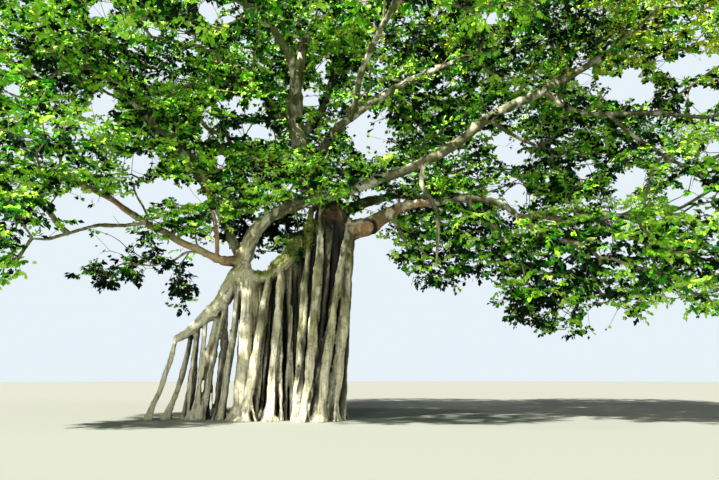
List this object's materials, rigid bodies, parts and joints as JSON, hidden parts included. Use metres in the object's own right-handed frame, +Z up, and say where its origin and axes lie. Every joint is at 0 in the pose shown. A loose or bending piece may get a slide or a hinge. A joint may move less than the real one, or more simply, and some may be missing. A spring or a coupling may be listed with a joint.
{
  "type": "banyan tree",
  "caption": "Whole banyan with a fluted trunk, a second stem joined to it by a sagging limb, pillar roots down to the ground, long arching boughs and a wide leafy crown that gives shade",
  "frame": {"origin": "centre of the flat cut under the main trunk, at ground level", "axes": "+Z up; +X to the right of the picture's view, along the line from the left trunk to the main trunk; +Y away from the camera"},
  "size_m": [37.6044, 29.0638, 22.3945],
  "materials": {
    "bark": "rough pale grey-beige bark with dark furrows between fused roots",
    "mossy_bark": "rough bark under a coat of green moss",
    "bright_leaves": "sunlit yellow-green leaves with a soft sheen",
    "deep_leaves": "shaded deep green leaves with a soft sheen"
  },
  "bodies": {
    "root": {"main_trunk": "bark", "left_trunk": "bark", "bridge_limb": "mossy_bark", "strut_limb": "bark", "arch_bough": "bark", "leader": "bark", "right_bough": "bark", "right_bough_outer": "bark", "long_bough": "bark", "left_bough": "bark", "left_upper_bough": "bark", "upper_right_bough": "bark", "inner_bough": "bark", "back_left_bough": "bark", "back_right_bough": "bark", "front_left_bough": "bark", "front_right_bough": "bark", "right_side_branch": "bark", "right_hanging_branch": "bark", "right_mid_branch": "bark", "left_upright_branch": "bark", "lower_left_branch": "bark", "low_twig": "bark", "hanging_root": "bark", "strut_tip_root": "bark", "strut_root_1": "bark", "strut_root_2": "bark", "strut_root_3": "bark", "strut_root_4": "bark", "bridge_root_1": "bark", "bridge_root_2": "bark", "bridge_root_3": "bark", "bridge_root_4": "bark", "bridge_root_5": "bark", "trunk_root_1": "bark", "trunk_root_2": "bark", "back_root": "bark", "crown_top": "bright_leaves", "crown_centre_top": "bright_leaves", "crown_upper_left": "bright_leaves", "crown_left_top": "bright_leaves", "crown_left": "bright_leaves", "crown_left_tip": "bright_leaves", "crown_inner_left": "deep_leaves", "crown_centre_left": "deep_leaves", "left_low_foliage": "deep_leaves", "fork_foliage": "bright_leaves", "trunk_top_foliage": "bright_leaves", "crown_mid_right": "deep_leaves", "crown_upper_right": "bright_leaves", "crown_right_top": "bright_leaves", "right_branch_foliage": "deep_leaves", "crown_right_mid": "deep_leaves", "crown_right_low": "deep_leaves", "right_droop": "deep_leaves", "right_edge": "bright_leaves", "crown_front_left": "bright_leaves", "crown_front_right": "bright_leaves", "crown_back_left": "deep_leaves", "crown_back_right": "deep_leaves"}
  },
  "joints": []
}
